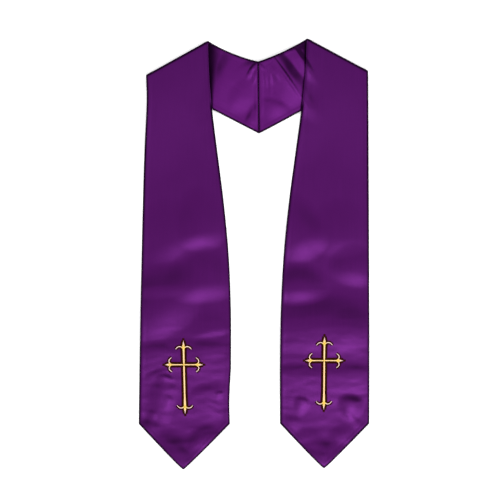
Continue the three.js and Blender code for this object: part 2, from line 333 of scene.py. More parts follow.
# %% Curves that ease from one value to another
def ease(t):
    """A smooth step from 0 to 1."""
    t = np.clip(t, 0, 1)
    return t * t * (3 - 2 * t)


def mix(a, b, t):
    """The value that lies a share t of the way from a to b."""
    return a + (b - a) * t


def mix_points(p, q, t):
    """Points between p and q, one for each t."""
    return p + (q - p) * np.asarray(t)[..., None]


# %% Lines on the plan
def width_at(down):
    """The width of a front at a distance below its neck point, on a smooth curve."""
    slopes = np.gradient(WIDTH_THERE, WIDTH_DOWN)
    i = np.clip(np.searchsorted(WIDTH_DOWN, down, side="right") - 1, 0, len(WIDTH_DOWN) - 2)
    step = WIDTH_DOWN[i + 1] - WIDTH_DOWN[i]
    t = np.clip((down - WIDTH_DOWN[i]) / step, 0, 1)
    rise = ease(t) * (WIDTH_THERE[i + 1] - WIDTH_THERE[i])
    bend = t * (1 - t) * ((1 - t) * slopes[i] - t * slopes[i + 1]) * step
    return WIDTH_THERE[i] + rise + bend


def downward_normal(p, q):
    """The unit vector at right angles to the line from p to q that points towards -Y."""
    dx, dy = q - p
    return np.array([dy, -dx]) / (math.hypot(dx, dy) * np.sign(dx))


def past_line(side, plan, end):
    """How far points of the plan lie past the line from a half's shoulder to another point."""
    shoulder = SIDES[side]["shoulder"]
    return (plan - shoulder) @ downward_normal(shoulder, end)


# %% The height of each stretch
SETTLE = 150  # past the fold, the front comes down to rest over this length
STEP_DOWN = 84  # past the back's lower edge, it comes down to the table over this one
CLEAR = 1.0  # air between a front and the back under it
FRONT_FADE = 45  # creases grow from nothing at the fold over this length of a front, and
BACK_FADE = 16  # over this one of the back
FRONT_WAVES = 0.6  # how high the fine waviness of the fronts is, and of the back
BACK_WAVES = 0.35
WAVES_BELOW = -80  # the fronts are smooth above here, and
WAVES_GROW = 60  # their waviness grows over this length


def past_fold(side, x, y):
    """How far a point of the plan lies from where the fold at a shoulder ends."""
    return past_line(side, np.stack([x, y], axis=-1), SIDES[side]["neck"]) - FOLD_RADIUS


def back_underside(x, y):
    """The height of the back's face, which lies down, above the table."""
    creases = crease_height(BACK_CREASES, x, y)
    for side in SIDES:
        creases *= ease(past_fold(side, x, y) / BACK_FADE)
    return creases + BACK_WAVES * waviness(x, y, 19, 23)


def front_underside(side, x, y):
    """The height of a front's lining above the table."""
    past = past_fold(side, x, y)
    held = (2 * FOLD_RADIUS - PAIR) * (1 - ease(past / SETTLE))
    below_back = past_line(side, np.stack([x, y], axis=-1), SEAM_FOOT)
    on_back = (PAIR + CLEAR + back_underside(x, y)) * (1 - ease(below_back / STEP_DOWN))
    creases = crease_height(FRONT_CREASES, x, y) * ease(past / FRONT_FADE)
    waves = FRONT_WAVES * ease((WAVES_BELOW - y) / WAVES_GROW) * waviness(x, y, 30, 10)
    return (held**4 + on_back**4) ** 0.25 + creases + waves


def face_height(side, x, y):
    """The height of a front's right side, away from its edges."""
    return front_underside(side, x, y) + PAIR + CREVICE / 2


# %% [markdown]
# ## The grid of a half
#
# The grid follows the middle of the two layers. Near the edges and the seams its rows and
# columns crowd together, so that the rolled edge, just over a millimetre in radius, is round.
# At the shoulder the rows go half a turn round a line along the fold.

# %% Rows and columns
COLUMN_STEP = 1.9
ROW_STEP = 1.9
ROUND = PAIR / 2  # radius of the rolled edges
RIM = ROUND * (1 - np.cos(np.linspace(0, math.pi / 2, 5)))  # places across the round of an edge


def crowded(length, step, rim_at_start=True, rim_at_end=True):
    """Places from 0 to length about a step apart, with those of a rim at its ends."""
    start = RIM if rim_at_start else np.array([0.0])
    end = length - RIM[::-1] if rim_at_end else np.array([length])
    inner = np.linspace(start[-1], end[0], round((end[0] - start[-1]) / step) + 1)
    return np.concatenate([start[:-1], inner, end[1:]]) / length


COLUMNS = crowded(WIDTH_THERE[-1], COLUMN_STEP)
print(len(COLUMNS), "columns")


def rows_between(outer, inner):
    """A row of points from each point of the outer edge to its partner on the neck edge."""
    return outer[:, None] + (inner - outer)[:, None] * COLUMNS[None, :, None]


def raised(plan, z):
    """Points of the plan at their heights."""
    return np.concatenate([plan, z[..., None]], axis=-1)


# %% The two edges of a front
TUCK_AT = 0.085  # the tuck is deepest at this share of the way down
FULL_BELOW = 400  # a front has its fullness this far below its neck point
TOE_IN_FROM = 500  # its neck edge turns out and in again below here, over
TOE_IN_LENGTH = 85


def outer_edge(side, y, tuck=0):
    """Points on a front's outer edge, at distances y up the plan."""
    lie = SIDES[side]
    t = (lie["shoulder"][1] - y) / (lie["shoulder"][1] - lie["corner"][1])
    edge = mix_points(lie["shoulder"], lie["corner"], t)
    edge[..., 0] += lie["side_bow"] * 4 * t * np.clip(1 - t, 0, 1)
    edge[..., 0] += lie["inward"] * tuck * (t / TUCK_AT) ** 2 * np.exp(2 - 2 * t / TUCK_AT)
    return edge


def neck_edge(side, y):
    """Points on a front's neck edge, at distances y up the plan."""
    lie = SIDES[side]
    edge = outer_edge(side, y)
    down = lie["neck"][1] - y
    width = width_at(down) * mix(1, lie["fullness"], ease(down / FULL_BELOW))
    toe_in = lie["toe_in"] * np.sin(math.pi * np.clip((down - TOE_IN_FROM) / TOE_IN_LENGTH, 0, 1))
    edge[..., 0] += lie["inward"] * (width - toe_in)
    return edge


def slide(side, start, end):
    """The step from start towards end that leads 1 mm away from the half's fold."""
    along = end - start
    return along / (along @ downward_normal(SIDES[side]["shoulder"], SIDES[side]["neck"]))


def front_starts(side):
    """How each edge of a front slides away from the fold."""
    lie = SIDES[side]
    near_neck = neck_edge(side, np.array([lie["neck"][1] - 4 * FOLD_RADIUS]))[0]
    return slide(side, lie["shoulder"], lie["corner"]), slide(side, lie["neck"], near_neck)


# %% The rows of the back, from the seam to where the fold begins
def sagging(start, end, t, depth):
    """Points from start to end on a line that sags by a depth in its middle."""
    return mix_points(start, end, t) + (depth * 4 * t * (1 - t))[:, None] * downward_normal(start, end)


def back_rows(side):
    """The rows of a half's back, and how its two edges slide away from the fold."""
    lie = SIDES[side]
    shoulder, neck = lie["shoulder"], lie["neck"]
    shift = np.array([-lie["inward"] * SEAM_GAP / 2, 0])
    foot, top = SEAM_FOOT + shift, SEAM_TOP + shift
    fold_normal = downward_normal(shoulder, neck)
    lower_start = FOLD_RADIUS / ((foot - shoulder) @ fold_normal)
    upper_start = FOLD_RADIUS / ((top - neck) @ fold_normal)
    t = 1 - crowded(np.linalg.norm(foot - shoulder), ROW_STEP, rim_at_end=False)[:-1]
    lower = sagging(shoulder, foot, mix(lower_start, 1, t), lie["foot_sag"])
    upper = sagging(neck, top, mix(upper_start, 1, t), lie["neck_sag"])
    plan = rows_between(lower, upper)
    rows = raised(plan, back_underside(plan[..., 0], plan[..., 1]) + PAIR / 2)
    return rows, (slide(side, shoulder, foot), slide(side, neck, upper[-1]))


# %% The rows of the fold, half a turn of a roll
FOLD_ROWS = 15


def fold_rows(side, back_slides, front_slides):
    """The rows of a fold, and the direction of its right side at each row."""
    lie = SIDES[side]
    angle = np.linspace(0, math.pi, FOLD_ROWS)
    middle = FOLD_RADIUS - PAIR / 2
    past = (FOLD_RADIUS - middle * np.sin(angle))[:, None]
    behind = (angle < math.pi / 2)[:, None]
    outer_slide, neck_slide = (np.where(behind, *slides) for slides in zip(back_slides, front_slides))
    plan = rows_between(lie["shoulder"] + outer_slide * past, lie["neck"] + neck_slide * past)
    z = np.broadcast_to((FOLD_RADIUS - middle * np.cos(angle))[:, None], plan.shape[:2])
    normal = downward_normal(lie["shoulder"], lie["neck"])
    out = np.stack([-normal[0] * np.sin(angle), -normal[1] * np.sin(angle), -np.cos(angle)], -1)
    return raised(plan, z), out


# %% The rows of the front, from the fold to the point
POINT_BLUNT = 1.05  # 1 would give the end straight sides and a sharp tip
POINT_LATE = 4  # how late on the way down the rows start to bend into the point


def front_rows(side, slides):
    """The rows of a front, which follow the pointed end more and more closely."""
    lie = SIDES[side]
    bottom = lie["corner"][1]
    top_outer = lie["shoulder"][1] + slides[0][1] * FOLD_RADIUS
    top_neck = lie["neck"][1] + slides[1][1] * FOLD_RADIUS
    t = crowded(top_outer - bottom, ROW_STEP, rim_at_start=False)[1:]
    plan = rows_between(outer_edge(side, mix(top_outer, bottom, t), lie["side_tuck"]),
                        neck_edge(side, mix(top_neck, bottom, t)))
    late = t**POINT_LATE
    towards_tip = 1 - np.abs(2 * COLUMNS - 1) ** POINT_BLUNT
    plan[..., 1] -= ((bottom - lie["tip"]) * late)[:, None] * towards_tip
    plan[..., 0] += lie["tip_lean"] * late[:, None] * towards_tip
    return raised(plan, front_underside(side, plan[..., 0], plan[..., 1]) + PAIR / 2)


# %% The whole grid of a half
def plan_of(side):
    """The rows of a half: points on its middle layer, and the direction to its right side."""
    back, back_slides = back_rows(side)
    front_slides = front_starts(side)
    fold, fold_up = fold_rows(side, back_slides, front_slides)
    front = front_rows(side, front_slides)
    back_up = np.broadcast_to([0.0, 0.0, -1.0], back.shape)
    fold_up = np.broadcast_to(fold_up[:, None], fold.shape)
    front_up = np.broadcast_to([0.0, 0.0, 1.0], front.shape)
    return np.concatenate([back, fold, front]), np.concatenate([back_up, fold_up, front_up])


PLANS = {side: plan_of(side) for side in SIDES}
for side, (places, _) in PLANS.items():
    print(side, "half:", *places.shape[:2], "rows and columns")

# %% [markdown]
# ## Where the cloth is dark
#
# Rolled edges, seams and folds of satin turn away from every light, the back lies in the shadow
# of the fronts on it, and steep slopes that face the neck lie in shade. Each point of the grid gets
# a value for that, from the distances to the edges and the slopes of the cloth. The materials read
# it and paint that shade into the colour, as painted shade.


# %% Distances and slopes
def edge_distances(places):
    """How far each point is from the strip's long sides, from its seam and from its pointed end."""
    def from_line(line_points, direction):
        direction = direction / np.linalg.norm(direction, axis=-1, keepdims=True)
        return np.linalg.norm(np.cross(places - line_points, direction), axis=-1)

    along = np.gradient(places, axis=0)
    across = np.gradient(places, axis=1)
    sides = np.minimum(from_line(places[:, :1], along[:, :1]), from_line(places[:, -1:], along[:, -1:]))
    seam = from_line(places[:1], across[:1])
    end = from_line(places[-1:], across[-1:])
    # The fold lays the ends of the strip over each other, so each counts for its own rows only.
    a_third = len(places) // 3
    seam[a_third:] = np.inf
    end[:a_third] = np.inf
    return sides, seam, end


def slopes_of(places):
    """How steeply a grid climbs towards +X and towards +Y."""
    rows, columns = (np.gradient(places, axis=axis) for axis in (0, 1))
    area = rows[..., 1] * columns[..., 0] - rows[..., 0] * columns[..., 1]
    area = np.where(np.abs(area) < 1e-3, np.inf, area)
    lean = (columns[..., 2] * rows[..., 1] - rows[..., 2] * columns[..., 1]) / area
    climb = (rows[..., 2] * columns[..., 0] - columns[..., 2] * rows[..., 0]) / area
    return lean, climb


# %% The painted shades of edges, seam, folds, laps and hollows
# depth: how dark, up to 1. dark: how far from its line it is that dark. fade: over how much
# more it fades out.
Shade = namedtuple("Shade", "depth dark fade")
EDGE = Shade(1.0, 2.0, 1.6)
SEAM = Shade(0.78, 1.0, 1.2)
FOLD = Shade(0.97, 2.9, 1.7)
LAP_DEPTH = 0.93
LAP_END = 1.8  # how wide a lap's shadow is where it is narrowest
LAP_EDGE_LIGHT = 0.75  # the share of its dark that an edge loses where it lies on the back
LAP_EDGE_WIDTH = 30  # as far as this from a front's neck edge
LAP_FADE = 12  # and above the back's lower edge, fading out over this length
HOLLOW_DEPTH = 0.72
HOLLOW_FROM = 0.08  # the slope where the shade of a hollow begins, and
HOLLOW_OVER = 0.26  # by how much more it is full


def shaded(shade, distance):
    """The shade at a distance from its line."""
    return shade.depth * (1 - ease((distance - shade.dark) / shade.fade))


def fold_shade(side, places):
    """Painted shade, dark from a fold's outermost line inwards, but light below, where it meets the
    table.
    """
    above_table = ease((places[..., 2] / FOLD_RADIUS - 0.3) / 0.5)
    return shaded(FOLD, past_line(side, places[..., :2], SIDES[side]["neck"])) * above_table


def beyond_front(side, plan):
    """How far points of the plan lie beyond a front's neck edge, towards the centre."""
    lie = SIDES[side]
    t = (lie["shoulder"][1] - plan[..., 1]) / (lie["shoulder"][1] - lie["corner"][1])
    outer = mix_points(lie["shoulder"], lie["corner"], t)[..., 0]
    return (plan[..., 0] - outer) * lie["inward"] - width_at(lie["neck"][1] - plan[..., 1])


def lap_shade(side, plan, up):
    """The painted shadow of a front on the back under it."""
    lie = SIDES[side]
    narrowing = ease((lie["neck"][1] - plan[..., 1]) / lie["lap_depth"])
    reach = mix(lie["lap_reach"], LAP_END, narrowing)
    shade = LAP_DEPTH * (1 - ease(beyond_front(side, plan) / reach - 0.1))
    shade[up[..., 2] > -1] = 0
    return shade


def rolled_shade(side, plan, up, distance):
    """The painted shade of a rolled edge, lighter where a front lies on the back."""
    above_foot = 1 - ease((past_line(side, plan, SEAM_FOOT) + LAP_FADE) / LAP_FADE)
    on_back = (up[..., 2] > 0) * (beyond_front(side, plan) > -LAP_EDGE_WIDTH) * above_foot
    return (1 - LAP_EDGE_LIGHT * on_back) * shaded(EDGE, distance)


def hollow_shade(places, up):
    """The painted shadow on steep slopes that face the neck."""
    lean, climb = slopes_of(places)
    steep = np.hypot(lean, climb)
    facing_neck = ease(-2 * climb / np.maximum(steep, 1e-6))
    shade = HOLLOW_DEPTH * facing_neck * ease((steep - HOLLOW_FROM) / HOLLOW_OVER)
    shade[np.abs(up[..., 2]) < 1] = 0
    return shade


def shade_of(side, places, up, sides, seam, end):
    """Painted shade, from 1 in the dark of a rolled edge, a seam or a lap to 0 on the open cloth."""
    plan = places[..., :2]
    rolled = rolled_shade(side, plan, up, np.minimum(sides, end))
    lapped = lap_shade(side, plan, up)
    shades = [rolled, shaded(SEAM, seam), fold_shade(side, places), lapped, hollow_shade(places, up)]
    return np.maximum.reduce(shades)


# %% [markdown]
# ## Two layers of satin
#
# The face and the lining are separate shells, each one layer thick. Away from the edge they
# lie a little apart, and at the edge both roll in and meet at the seam. The seam allowance
# turned inside shows as a faintly raised border. Mesh code makes them, because each is one
# sheet whose every point is worked out, and a closed shell needs only the grid, its copy
# moved in by the cloth's thickness, and a rim between the two.


# %% How thick the layers are
SATIN = 0.35  # one layer
ALLOWANCE = 0.3  # the cloth turned in at the edges makes them this much thicker
ALLOWANCE_WIDTH = 5.6
ALLOWANCE_RISE = 2.0  # the widths over which it thickens them, and thins out again
ALLOWANCE_FALL = 2.5


def half_thickness(distance):
    """From the middle of the two layers to the outside of one, at a distance from the edge."""
    inside = np.clip(1 - distance / ROUND, 0, 1)
    roll = ROUND * np.sqrt(1 - inside**2)
    rise = ease((distance - ROUND) / ALLOWANCE_RISE)
    fall = ease((distance - ALLOWANCE_WIDTH) / ALLOWANCE_FALL)
    return roll + ALLOWANCE * rise * (1 - fall) + CREVICE / 2


def grid_normals(points, towards):
    """Unit normals of a grid of points, on the side that the towards vectors point to."""
    normals = np.cross(np.gradient(points, axis=0), np.gradient(points, axis=1))
    normals /= np.maximum(np.linalg.norm(normals, axis=-1, keepdims=True), 1e-12)
    return normals * np.sign((normals * towards).sum(-1).mean())


# %% Pieces from points and faces
def new_piece(name, points, faces):
    """A mesh object made of points, which are given in millimetres."""
    mesh = bpy.data.meshes.new(name)
    mesh.from_pydata((points.reshape(-1, 3) * MM).tolist(), [], faces)
    piece = bpy.data.objects.new(name, mesh)
    bpy.context.collection.objects.link(piece)
    return piece


def store(piece, name, values):
    """Keeps a value for each point of a piece, for the materials to read."""
    attribute = piece.data.attributes.new(name, "FLOAT", "POINT")
    attribute.data.foreach_set("value", values.ravel())


# %% A closed shell
def shell_mesh(name, outer, inner, strip_map, edge_shade):
    """A closed shell of two grids, with the cut as its UV map and the edge's shade as a value."""
    rows, columns = outer.shape[:2]
    index = np.arange(rows * columns).reshape(rows, columns)
    under = index + rows * columns

    def quads(a, b, c, d):
        return np.stack([a, b, c, d], axis=-1).reshape(-1, 4)

    faces = np.concatenate([
        quads(index[:-1, :-1], index[1:, :-1], index[1:, 1:], index[:-1, 1:]),
        quads(under[:-1, :-1], under[:-1, 1:], under[1:, 1:], under[1:, :-1]),
        quads(index[:-1, 0], under[:-1, 0], under[1:, 0], index[1:, 0]),
        quads(index[:-1, -1], index[1:, -1], under[1:, -1], under[:-1, -1]),
        quads(index[0, :-1], index[0, 1:], under[0, 1:], under[0, :-1]),
        quads(index[-1, :-1], under[-1, :-1], under[-1, 1:], index[-1, 1:]),
    ])
    piece = new_piece(name, np.stack([outer, inner]), faces.tolist())
    cut = piece.data.uv_layers.new(name="cut")
    loop_points = np.empty(len(piece.data.loops), dtype=np.int32)
    piece.data.loops.foreach_get("vertex_index", loop_points)
    flat = np.concatenate([strip_map.reshape(-1, 2)] * 2) * MM
    cut.data.foreach_set("uv", flat[loop_points].ravel())
    store(piece, "edge_shade", np.stack([edge_shade, edge_shade]))
    return piece


# %% Smooth shading
def deselect_all():
    """Leaves edit mode and selects nothing."""
    if bpy.context.object and bpy.context.object.mode != "OBJECT":
        bpy.ops.object.mode_set(mode="OBJECT")
    bpy.ops.object.select_all(action="DESELECT")


def select_only(piece):
    """Selects a piece and nothing else, and makes it active."""
    deselect_all()
    piece.select_set(True)
    bpy.context.view_layer.objects.active = piece


def finish_shading(piece, crease=60):
    """Turns all faces outwards and shades smooth, but for edges sharper than the crease angle."""
    select_only(piece)
    bpy.ops.object.mode_set(mode="EDIT")
    bpy.ops.mesh.select_all(action="SELECT")
    bpy.ops.mesh.normals_make_consistent(inside=False)
    bpy.ops.object.mode_set(mode="OBJECT")
    bpy.ops.object.shade_smooth_by_angle(angle=math.radians(crease))


# %% Sew both halves
def sew_half(side):
    """Makes the face and the lining of one half."""
    places, up = PLANS[side]
    distances = edge_distances(places)
    thick = half_thickness(np.minimum.reduce(distances))[..., None]
    steps = np.linalg.norm(np.diff(places, axis=0), axis=-1).mean(axis=1)
    along = np.concatenate([[0], np.cumsum(steps)])
    across = np.linalg.norm(places - places[:, :1], axis=-1)
    strip_map = np.stack([across, np.broadcast_to(along[:, None], across.shape)], -1)
    edge_shade = shade_of(side, places, up, *distances)
    pieces = {}
    for layer, outwards in (("face", up), ("lining", -up)):
        outer = places + outwards * thick
        inner = outer - grid_normals(outer, outwards) * SATIN
        piece = shell_mesh(f"satin_{layer}_{side}", outer, inner, strip_map, edge_shade)
        finish_shading(piece)
        pieces[layer] = piece
    print(side, "half:", round(along[-1]), "mm along its outer edge")
    return pieces


SATIN_PIECES = {side: sew_half(side) for side in SIDES}

# %% [markdown]
# ## The satin's finish
#
# In satin the threads of one direction pass over four or more of the other, so the face is
# nearly all long floats that lie side by side. That is what makes it shine. A brick pattern,
# one brick for each float, gives the weave its relief, and a stretched noise makes some threads
# catch a little more light than others. Both follow the cut through the UV map, so that they
# turn with the cloth. Two node groups hold what the face and the lining share: the weave, and
# the painted shade of the rolled edges, seams, folds, laps and hollows, which comes from the
# value stored on each mesh.

# %% Helpers for node groups
def new_group(name, inputs, outputs):
    """An empty shader node group; the sockets are given as name: (kind, default)."""
    group = bpy.data.node_groups.new(name, "ShaderNodeTree")
    for in_out, sockets in (("INPUT", inputs), ("OUTPUT", outputs)):
        for label, (kind, default) in sockets.items():
            kind = f"NodeSocket{kind}"
            socket = group.interface.new_socket(name=label, in_out=in_out, socket_type=kind)
            if default is not None:
                socket.default_value = default
    start = group.nodes.new("NodeGroupInput")
    finish = group.nodes.new("NodeGroupOutput")
    return group, start.outputs, finish.inputs


def feed(tree, taker, value):
    """Links another node's socket to an input, or sets the input's own value."""
    if isinstance(value, bpy.types.NodeSocket):
        tree.links.new(value, taker)
    else:
        taker.default_value = value


def add_node(tree, kind, settings=None, **values):
    """A node with its settings, and what feeds its inputs, by name or as _0, _1 by place."""
    node = tree.nodes.new(f"ShaderNode{kind}")
    for key, value in (settings or {}).items():
        setattr(node, key, value)
    for key, value in values.items():
        place = int(key[1:]) if key[1:].isdigit() else key.replace("_", " ")
        feed(tree, node.inputs[place], value)
    return node


def mix_colours(tree, factor, a, b):
    """The colour between a and b."""
    return add_node(tree, "Mix", {"data_type": "RGBA"}, _0=factor, _6=a, _7=b).outputs[2]


def maths(tree, operation, a, b=0.0, c=0.0):
    """The result of a Math node."""
    return add_node(tree, "Math", {"operation": operation}, _0=a, _1=b, _2=c).outputs[0]


def add_bump(tree, inputs, strength, distance, height):
    """Lets a height, of 0 to 1 over a distance, tilt a shader's normals."""
    bump = add_node(tree, "Bump", Strength=strength, Distance=distance, Height=height)
    tree.links.new(bump.outputs[0], inputs["Normal"])


# %% The weave
STREAKS = (16, 900, 1)  # waves to a metre of the noise between threads, along and across them


def make_weave():
    """Outputs the relief of the floats, and how much each thread differs from its neighbours."""
    group, given, wanted = new_group(
        "satin weave",
        {"Cut": ("Vector", None), "Threads per metre": ("Float", 4000.0),
         "Float in threads": ("Float", 5.0)},
        {"Relief": ("Float", None), "Thread": ("Float", None), "Cloud": ("Float", None)},
    )
    # The warp runs along the strip, so the cut is turned: bricks lie along it.
    parts = add_node(group, "SeparateXYZ", Vector=given["Cut"]).outputs
    turned = add_node(group, "CombineXYZ", X=parts["Y"], Y=parts["X"]).outputs[0]
    threads = add_node(group, "VectorMath", {"operation": "SCALE"},
                       _0=turned, Scale=given["Threads per metre"]).outputs[0]
    bricks = add_node(group, "TexBrick", {"offset": 0.4, "offset_frequency": 1},
                      Vector=threads, Color1=(1, 1, 1, 1), Color2=(1, 1, 1, 1),
                      Mortar=(0, 0, 0, 1), Scale=1.0, Mortar_Size=0.12, Mortar_Smooth=1.0,
                      Brick_Width=given["Float in threads"], Row_Height=1.0)
    group.links.new(bricks.outputs["Color"], wanted["Relief"])
    stretched = add_node(group, "VectorMath", {"operation": "MULTIPLY"}, _0=turned, _1=STREAKS).outputs[0]
    streaks = add_node(group, "TexNoise", Vector=stretched, Scale=1.0, Detail=2.0, Roughness=0.6)
    group.links.new(streaks.outputs["Fac"], wanted["Thread"])
    clouds = add_node(group, "TexNoise", Vector=turned, Scale=26.0, Detail=3.0, Roughness=0.55)
    group.links.new(clouds.outputs["Fac"], wanted["Cloud"])
    return group


# %% The painted shade of edges, folds, laps and hollows
def make_painted_shade():
    """Turns the colour of the open cloth into the painted shade of its rolled edges, seams, folds, laps
    and hollows.
    """
    group, given, wanted = new_group(
        "painted shade of edges, folds, laps and hollows",
        {"Colour": ("Color", None), "Painted shade colour": ("Color", (0.006, 0.001, 0.008, 1)),
         "Metallic": ("Float", 0.3), "Roughness": ("Float", 0.4)},
        {"Colour": ("Color", None), "Metallic": ("Float", None), "Roughness": ("Float", None)},
    )
    shade = add_node(group, "Attribute", {"attribute_name": "edge_shade"}).outputs["Fac"]
    group.links.new(mix_colours(group, shade, given["Colour"], given["Painted shade colour"]), wanted["Colour"])
    for label, at_edge in (("Metallic", 1.0), ("Roughness", 0.62)):
        between = add_node(group, "Mix", {"data_type": "FLOAT"}, _0=shade, _2=given[label], _3=at_edge)
        group.links.new(between.outputs[0], wanted[label])
    return group


WEAVE = make_weave()
PAINTED_SHADE_GROUP = make_painted_shade()
print("node groups:", [group.name for group in bpy.data.node_groups])


# %% A satin
SatinLook = namedtuple("SatinLook", "colour roughness pitch")
SHEEN = (0.72, 0.15, 1.0)  # the tint of its shine
GLOSS = 0.95
METALLIC = 0.3
LIGHT_THREAD = 1.22  # how much lighter and darker than the colour a thread may be
DARK_THREAD = 0.80
ROUGH_SPREAD = 0.10  # how much the roughness differs between threads


def make_satin(name, look):
    """A satin with the colour of its body, its roughness, and its pitch in threads per metre."""
    satin, tree, inputs = new_material(name, Specular_IOR_Level=GLOSS, Specular_Tint=(*SHEEN, 1))
    cut = add_node(tree, "UVMap", {"uv_map": "cut"}).outputs[0]
    weave = add_node(tree, "Group", {"node_tree": WEAVE}, Cut=cut, Threads_per_metre=look.pitch).outputs
    dark, light = (tuple(share * c for c in look.colour) for share in (DARK_THREAD, LIGHT_THREAD))
    streaked = mix_colours(tree, weave["Thread"], (*dark, 1), (*light, 1))
    cloudy = maths(tree, "MULTIPLY", weave["Cloud"], 0.5)
    clouded = mix_colours(tree, cloudy, streaked, (*look.colour, 1))
    rough = maths(tree, "MULTIPLY_ADD", weave["Thread"], ROUGH_SPREAD, look.roughness - ROUGH_SPREAD / 2)
    edge = add_node(tree, "Group", {"node_tree": PAINTED_SHADE_GROUP},
                    Colour=clouded, Metallic=METALLIC, Roughness=rough).outputs
    for label, taker in (("Colour", "Base Color"), ("Metallic", "Metallic"), ("Roughness", "Roughness")):
        tree.links.new(edge[label], inputs[taker])
    relief = maths(tree, "MULTIPLY_ADD", weave["Thread"], 0.7, weave["Relief"])
    add_bump(tree, inputs, strength=0.25, distance=0.06 * MM, height=relief)
    return satin


# %% The painted shade of the outermost edge
def make_painted_edge_shade(colour):
    """The outermost millimetre, which turns away and down into the seam, painted near-black as painted
    shade.
    """
    edge, tree, inputs = new_material("painted edge shade", Roughness=0.9, Specular_IOR_Level=0.05)
    cut = add_node(tree, "UVMap", {"uv_map": "cut"}).outputs[0]
    weave = add_node(tree, "Group", {"node_tree": WEAVE}, Cut=cut).outputs
    lighter = tuple(1.6 * c for c in colour)
    streaked = mix_colours(tree, weave["Thread"], (*colour, 1), (*lighter, 1))
    tree.links.new(streaked, inputs["Base Color"])
    add_bump(tree, inputs, strength=0.3, distance=0.06 * MM, height=weave["Relief"])
    return edge


# %% Dressing the layers
LOOKS = {
    "face": SatinLook(colour=(0.0475, 0.0022, 0.0655), roughness=0.415, pitch=4000),
    # The lining's colour is lighter than the face's as painted sheen, for the back of the neck, which
    # lies lining side up and shines more.
    "lining": SatinLook(colour=(0.072, 0.0039, 0.098), roughness=0.45, pitch=3400),
}
SATINS = {layer: make_satin(f"{layer} satin", look) for layer, look in LOOKS.items()}
PAINTED_EDGE_SHADE = make_painted_edge_shade((0.010, 0.0012, 0.013))
# Faces as dark as this at all their points get the near-black painted edge shade.
PAINTED_EDGE_FROM = 0.96  # faces with all their points this dark or darker are turned edge


def dress(piece, satin):
    """Gives a layer its satin, and its outermost faces the near-black painted edge shade."""
    piece.data.materials.append(satin)
    piece.data.materials.append(PAINTED_EDGE_SHADE)
    shade = np.empty(len(piece.data.vertices))
    piece.data.attributes["edge_shade"].data.foreach_get("value", shade)
    corners = np.array([face.vertices[:] for face in piece.data.polygons])
    turned = (shade[corners] > PAINTED_EDGE_FROM).all(axis=1).astype(np.int32)
    piece.data.polygons.foreach_set("material_index", turned)
    print(piece.name, "has", turned.sum(), "faces of painted edge shade")


for side, layers in SATIN_PIECES.items():
    for layer, piece in layers.items():
        dress(piece, SATINS[layer])

# %% [markdown]
# ## The cloth in place of the frame
#
# Each layer is one sheet. Its cut is known: a strip 137.8 mm wide at the end and 765 mm long
# over its point, with an area that its taper, its mitred seam and its point reduce. Each layer is
# attached to the root, and the frame's wall for that layer is hidden.

# %% The four sheets
for side, layers in SATIN_PIECES.items():
    for layer, piece in layers.items():
        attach(piece, "root")
        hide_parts(f"{layer}_{side}")

# %% [markdown]
# ## The embroidered crosses
#
# Each front carries a cross fleury, an old church form whose arms end in a leaf between two
# curled petals. An embroidery machine fills every bar with satin stitch: threads that lie side
# by side straight across it, pulled down at both ends and standing up in the middle. That arch
# gives a pale line of light along each bar, and each stitch is also painted paler in its middle
# as painted highlight. One stitch is modelled by hand, and a copy of it is laid for every stitch
# of the cross, stretched to its length and set on the cloth. A lower and wider layer of dark
# brown stitches goes under the gold and shows as a narrow edge round it: partly a brown outline,
# partly a painted shadow round the raised gold.

# %% One stitch
THREAD_SIDES = 6
THREAD_CUTS = (-0.42, -0.24, 0.0, 0.24, 0.42)
THREAD_END = 0.45  # the thread is drawn in to this share of its radius where it enters the cloth


def select_ends(piece):
    """Selects the points at both ends of the thread and nothing else."""
    shape = bmesh.from_edit_mesh(piece.data)
    for point in shape.verts:
        point.select = abs(point.co.x) > 0.49
    shape.select_flush_mode()
    bmesh.update_edit_mesh(piece.data)


def model_stitch():
    """A straight thread along X, 1 long and 1 in radius, cut into rings and drawn in at its ends."""
    deselect_all()
    bpy.ops.mesh.primitive_cylinder_add(vertices=THREAD_SIDES, radius=1, depth=1, end_fill_type="NGON",
                                        rotation=(0, math.pi / 2, 0))
    stitch = bpy.context.object
    bpy.ops.object.transform_apply(rotation=True)
    bpy.ops.object.mode_set(mode="EDIT")
    for cut in THREAD_CUTS:
        bpy.ops.mesh.select_all(action="SELECT")
        bpy.ops.mesh.bisect(plane_co=(cut, 0, 0), plane_no=(1, 0, 0))
    bpy.ops.mesh.select_all(action="DESELECT")
    bpy.ops.mesh.select_mode(type="VERT")
    select_ends(stitch)
    bpy.ops.transform.resize(value=(1, THREAD_END, THREAD_END))
    bpy.ops.mesh.select_all(action="SELECT")
    bpy.ops.mesh.normals_make_consistent(inside=False)
    bpy.ops.object.mode_set(mode="OBJECT")
    points = np.array([point.co[:] for point in stitch.data.vertices])
    faces = [list(face.vertices) for face in stitch.data.polygons]
    bpy.data.objects.remove(stitch)
    return points, faces


STITCH_POINTS, STITCH_FACES = model_stitch()
print("one stitch:", len(STITCH_POINTS), "points,", len(STITCH_FACES), "faces")

